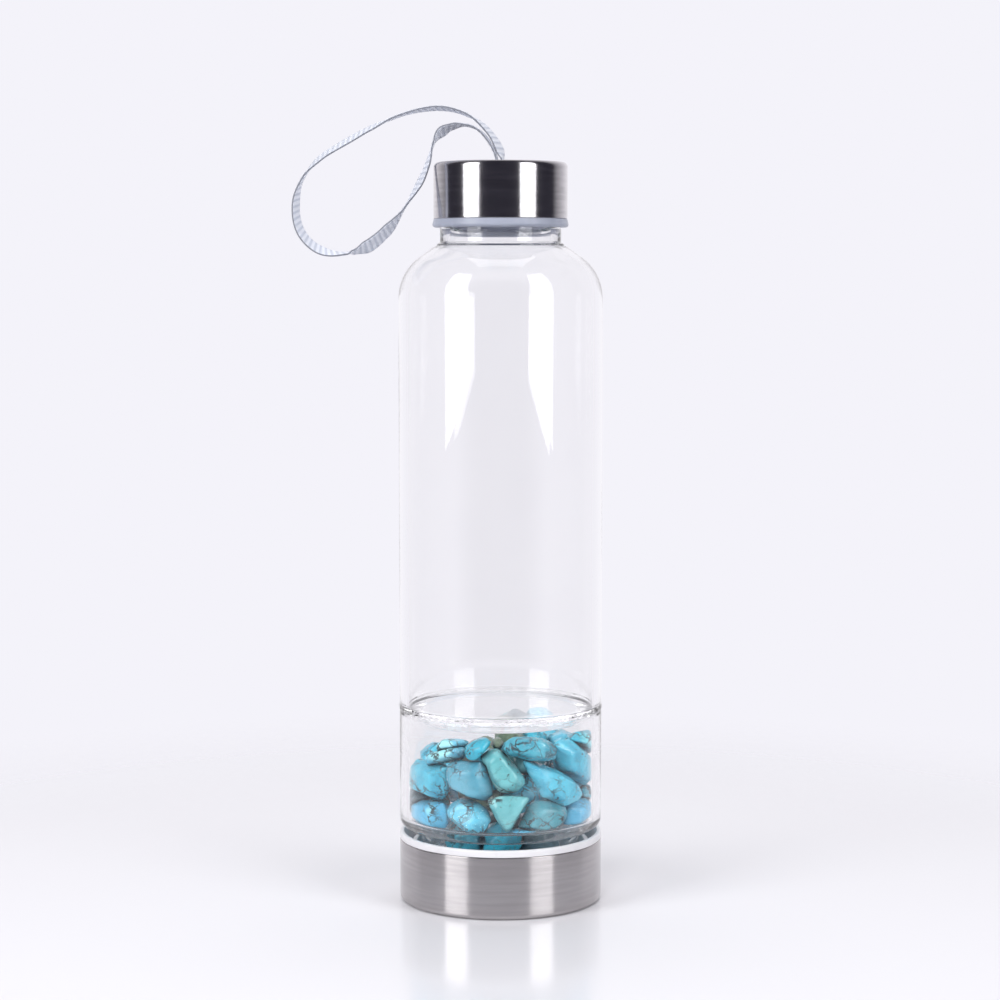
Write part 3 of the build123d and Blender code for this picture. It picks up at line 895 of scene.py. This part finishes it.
def makeBaseLiner(b):
    radius, top = cupHigh.x / mm, cupHigh.z / mm + fit
    outer = radius - b["sheet"] - fit
    skirt = outer - b["skirtWall"]
    bottom = b["sheet"] + fit
    line = roundOutline([
        (0, bottom, 0),
        (outer, bottom, 1.2),
        (outer, top, 0),
        (radius, top, 0.3),
        (radius, b["collarTop"], 0.5),
        (skirt + 0.4, b["collarTop"], 0.3),
        (skirt, top, 0),
        (skirt, b["insertFloor"], 0.5),
        (b["sleeveRadius"], b["insertFloor"], 0.5),
        (b["sleeveRadius"], b["sleeveTop"], 0.4),
        (b["sleeveBore"], b["sleeveTop"], 0.4),
        (b["sleeveBore"], b["insertFloor"], 0.2),
        (0, b["insertFloor"], 0),
    ], 10)
    line = cutSteps(line, 0.3 * mm, b["insertFloor"] * mm, b["sleeveTop"] * mm)

    def shape(angle, ringRadius, z):
        return threadHeight(baseThread, angle, z) if onWall(ringRadius, b["sleeveBore"]) else 0.0

    piece = turnPiece("baseLiner", line, 320, plastics["collarPlastic"], shape)
    settle(piece, "base", "collar_plastic", "base_liner")


makeBaseCup(basePart)
makeBaseLiner(basePart)
makeSeal("baseSeal", "base_gasket", "base_seal", glass["footBore"] - 0.3)
print("base made")

stoneShape = {
    "voxelFront": 0.45 * mm,
    "voxelBack": 0.7 * mm,
    "shelf": 26.4 * mm,
    "neckReach": 22.6 * mm,
    "chamberReach": 29.85 * mm,
    "easing": 0.4 * mm,
    "rounding": 6,
    "fullness": 0.4 * mm,  # puts back what the rounding wears off
    "dentSize": 5.0 * mm,
    "dentDepth": 0.35 * mm,
    "pitSize": 1.3 * mm,
    "pitDepth": 0.07 * mm,
}
# the stones that show at the front; the rest take the finishes in a mixed order
stoneFinish = {
    1: "greenBlue", 2: "turquoise", 3: "greyBlue", 4: "darkVeined", 5: "turquoise",
    6: "speckled", 7: "deepTeal", 8: "skyBlue", 9: "skyBlue", 10: "mutedTeal",
    11: "turquoise", 12: "greenBlue", 13: "darkVeined", 14: "greyStone", 15: "skyBlue",
    16: "paleBlue", 17: "deepTeal", 18: "paleBlue", 19: "olive",
}


def roundStone(name, node, material, voxel, s):
    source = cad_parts[node].data.copy()
    piece = bpy.data.objects.new(name, source)
    scene.collection.objects.link(piece)
    remesh = piece.modifiers.new("remesh", "REMESH")
    remesh.mode = "VOXEL"
    remesh.voxel_size = voxel
    tumble = piece.modifiers.new("tumble", "SMOOTH")
    tumble.factor = 0.5
    tumble.iterations = s["rounding"]
    bpy.context.view_layer.update()
    worn = bpy.data.meshes.new_from_object(piece.evaluated_get(bpy.context.evaluated_depsgraph_get()))
    piece.modifiers.clear()
    piece.data = worn
    worn.name = name
    limit = s["neckReach"] if box(node)[1].z < s["shelf"] else s["chamberReach"]
    soft = s["easing"]
    for vertex in worn.vertices:
        here = vertex.co
        dent = noise.noise(here / s["dentSize"]) - 0.35
        pit = noise.noise(here / s["pitSize"])
        depth = s["fullness"] + min(dent, 0.0) * s["dentDepth"] + pit * s["pitDepth"]
        moved = here + vertex.normal * depth
        reach = math.hypot(moved.x, moved.y)
        if reach > limit - soft:  # a stone leans on the glass, and never goes into it
            held = limit - soft * math.exp((limit - soft - reach) / soft)
            moved.x *= held / reach
            moved.y *= held / reach
        vertex.co = moved
    worn.shade_smooth()
    worn.materials.clear()
    worn.materials.append(material)
    return piece


stoneNodes = sorted(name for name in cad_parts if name.startswith("stone_"))
finishes = list(stoneLooks)
for number, node in enumerate(stoneNodes, start=1):
    finish = stoneFinish.get(number, finishes[(number * 5 + number // 3) % len(finishes)])
    voxel = stoneShape["voxelFront"] if number in stoneFinish else stoneShape["voxelBack"]
    piece = roundStone(f"stone{number:02d}", node, stones[finish], voxel, stoneShape)
    settle(piece, "bottle", "turquoise_stone", node)
print("stones made:", len(stoneNodes))

studio = {
    "pale": (0.905, 0.896, 0.955, 1),
    "wall": (0.98, 0.96, 1.0, 1),
    "corner": (0.43, 0.42, 0.44, 1),
    "dark": (0.040, 0.038, 0.052, 1),
    "frontGlow": 0.22,
    "boxDistance": 1.0,
    "boxWidth": 0.48,
    "boxHeight": 1.2,
    "boxBottom": 0.10,
    "boxRoll": -6.0,
    "leftAzimuth": 53.5,
    "leftPower": 9.0,
    "rightAzimuth": 50.0,
    "rightPower": 8.0,
    "topPlace": (0, 0.1, 1.3),
    "topSize": 0.8,
    "topPower": 4.2,
    "fillPlace": (-0.3, -1.6, 1.0),
    "fillAim": (0, 0, 0.08),
    "fillSize": 0.5,
    "fillPower": 9.0,
    "floorColour": (0.90, 0.895, 0.935, 1),
    "floorRough": 0.14,
    "floorShine": 0.16,
    "floorHalf": 1.2,
    "floorRadius": 0.14,
    "floorFade": 0.36,
}


def makeWorld(s):
    world = bpy.data.worlds.new("studio")
    scene.world = world
    world.use_nodes = True
    tree = world.node_tree
    tree.nodes.clear()
    way = put(tree, "ShaderNodeTexCoord").outputs["Generated"]
    backness = put(tree, "ShaderNodeSeparateXYZ", {"Vector": way}).outputs["Y"]
    # a white wall behind the bottle that falls off to a dark room in front
    level = maths(tree, "MULTIPLY", maths(tree, "ADD", backness, 1.0), 0.5)
    ramp = put(tree, "ShaderNodeValToRGB", {"Fac": level})
    stops = ramp.color_ramp.elements
    stops[0].position, stops[0].color = 0.60, s["dark"]
    stops[1].position, stops[1].color = 0.93, s["wall"]
    stops.new(0.70).color = s["corner"]
    path = put(tree, "ShaderNodeLightPath").outputs
    # light mirrored inside the glass and thrown out to the front meets a dimmer part of the room
    mirrored = maths(tree, "MINIMUM", path["Glossy Depth"], 1.0)
    dimmer = spread(tree, backness, -0.95, -0.45, 1.0 - s["frontGlow"], 0.0)
    through = maths(tree, "SUBTRACT", 1.0, maths(tree, "MULTIPLY", mirrored, dimmer))
    through = maths(tree, "MULTIPLY", path["Is Transmission Ray"], through)
    seen = maths(tree, "MAXIMUM", path["Is Camera Ray"], through)
    colour = blendColour(tree, seen, ramp.outputs["Color"], s["pale"])
    shade = put(tree, "ShaderNodeBackground", {"Color": colour, "Strength": 1.0})
    put(tree, "ShaderNodeOutputWorld", {"Surface": shade.outputs[0]})


def makeLamp(name, power, place, size):
    data = bpy.data.lights.new(name, "AREA")
    data.energy = power
    data.size = size
    lamp = bpy.data.objects.new(name, data)
    scene.collection.objects.link(lamp)
    lamp.location = place
    lamp.rotation_mode = "QUATERNION"
    return lamp


def makeSoftbox(name, s, side, azimuth, power):
    angle = math.radians(azimuth)
    height = s["boxBottom"] + s["boxHeight"] / 2
    place = Vector((side * s["boxDistance"] * math.sin(angle), -s["boxDistance"] * math.cos(angle), height))
    lamp = makeLamp(name, power, place, s["boxWidth"])
    lamp.data.shape = "RECTANGLE"
    lamp.data.size_y = s["boxHeight"]
    turn = (Vector((0, 0, height)) - place).to_track_quat("-Z", "Y")
    roll = Matrix.Rotation(math.radians(side * s["boxRoll"]), 4, "Z").to_quaternion()
    lamp.rotation_quaternion = turn @ roll


def makeSoftLights(s):
    top = makeLamp("topLight", s["topPower"], s["topPlace"], s["topSize"])
    top.visible_glossy = False
    fillIn = makeLamp("fillLight", s["fillPower"], s["fillPlace"], s["fillSize"])
    fillIn.rotation_quaternion = (Vector(s["fillAim"]) - Vector(s["fillPlace"])).to_track_quat("-Z", "Y")
    fillIn.visible_glossy = False
    fillIn.visible_transmission = False


def makeFloor(s):
    # a pale glossy table top that fades out into the white room
    material, tree, shader = newMaterial("tableTop")
    away = put(tree, "ShaderNodeVectorMath", {0: objectPlace(tree)}, operation="LENGTH").outputs["Value"]
    fill(tree, shader, {
        "Base Color": s["floorColour"],
        "Roughness": s["floorRough"],
        "Specular IOR Level": s["floorShine"],
        "Alpha": spread(tree, away, s["floorRadius"], s["floorFade"], 1.0, 0.0),
    })
    half = s["floorHalf"]
    corners = [(-half, -half, 0), (half, -half, 0), (half, half, 0), (-half, half, 0)]
    table = addPiece("tableTop", corners, [(0, 1, 2, 3)], material)
    table.location.z = -0.1 * mm


makeWorld(studio)
makeSoftbox("leftSoftbox", studio, -1, studio["leftAzimuth"], studio["leftPower"])
makeSoftbox("rightSoftbox", studio, 1, studio["rightAzimuth"], studio["rightPower"])
makeSoftLights(studio)
makeFloor(studio)
scene.cycles.max_bounces = 24  # clear glass needs long light paths
scene.cycles.glossy_bounces = 16
scene.cycles.transmission_bounces = 24
scene.view_settings.view_transform = "Standard"
scene.view_settings.look = "None"
print("studio made")
